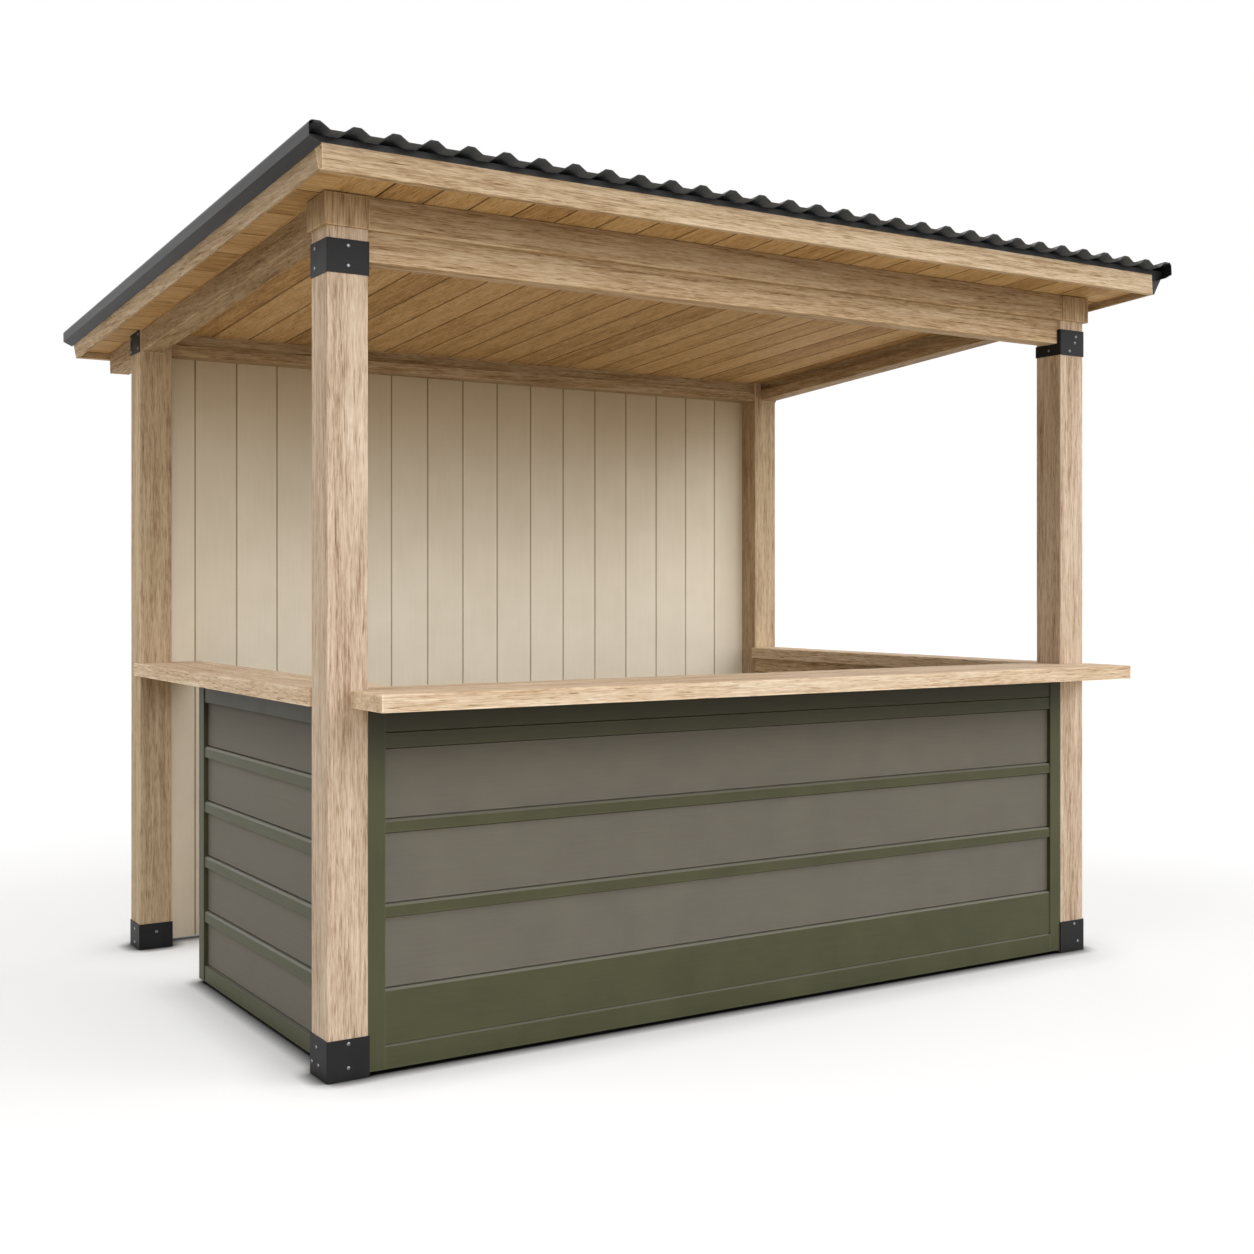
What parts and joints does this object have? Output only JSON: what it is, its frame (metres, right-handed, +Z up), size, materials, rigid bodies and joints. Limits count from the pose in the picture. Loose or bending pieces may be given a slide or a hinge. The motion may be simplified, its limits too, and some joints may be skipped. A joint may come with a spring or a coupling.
{
  "type": "market stall",
  "caption": "Open timber market stall with a low mono-pitch ribbed roof, panelled counters, a boarded back wall and a side entry gap.",
  "frame": {"origin": "centre of the stall's overall plan, on the ground", "axes": "+X to the right along the front counter, +Y from the front to the back wall, +Z up"},
  "size_m": [3.32, 2.6784, 2.5497],
  "materials": {
    "weathered_oak": "brushed, oiled",
    "counter_oak": "planed, oiled",
    "ceiling_oak": "planed, oiled",
    "black_steel": "satin powder coat",
    "roof_steel": "matt coating",
    "olive_paint": "satin paint",
    "grey_boards": "matt stain",
    "cream_paint": "matt paint"
  },
  "bodies": {
    "root": {"front_left_post": "weathered_oak", "front_right_post": "weathered_oak", "rear_left_post": "weathered_oak", "rear_right_post": "weathered_oak", "front_left_cap": "weathered_oak", "front_right_cap": "weathered_oak", "front_plate": "weathered_oak", "front_header": "weathered_oak", "left_rafter": "weathered_oak", "right_rafter": "weathered_oak", "rear_beam": "weathered_oak", "front_fascia": "weathered_oak", "rear_fascia": "weathered_oak", "left_bargeboard": "weathered_oak", "right_bargeboard": "weathered_oak", "right_apron": "weathered_oak", "roof_battens": "weathered_oak", "front_counter": "counter_oak", "left_counter": "counter_oak", "right_counter": "counter_oak", "ceiling": "ceiling_oak", "left_verge_soffit": "ceiling_oak", "right_verge_soffit": "ceiling_oak", "front_left_shoe": "black_steel", "front_right_shoe": "black_steel", "rear_left_shoe": "black_steel", "rear_right_shoe": "black_steel", "front_left_bracket": "black_steel", "front_right_bracket": "black_steel", "rear_left_bracket": "black_steel", "rear_right_bracket": "black_steel", "roof_sheet": "roof_steel", "left_flashing": "roof_steel", "right_flashing": "roof_steel", "front_drip_edge": "roof_steel", "front_panel_stiles": "olive_paint", "front_panel_rails": "olive_paint", "left_panel_stiles": "olive_paint", "left_panel_rails": "olive_paint", "right_panel_stiles": "olive_paint", "right_panel_rails": "olive_paint", "front_panel_boards": "grey_boards", "left_panel_boards": "grey_boards", "right_panel_boards": "grey_boards", "back_wall": "cream_paint"}
  },
  "joints": []
}
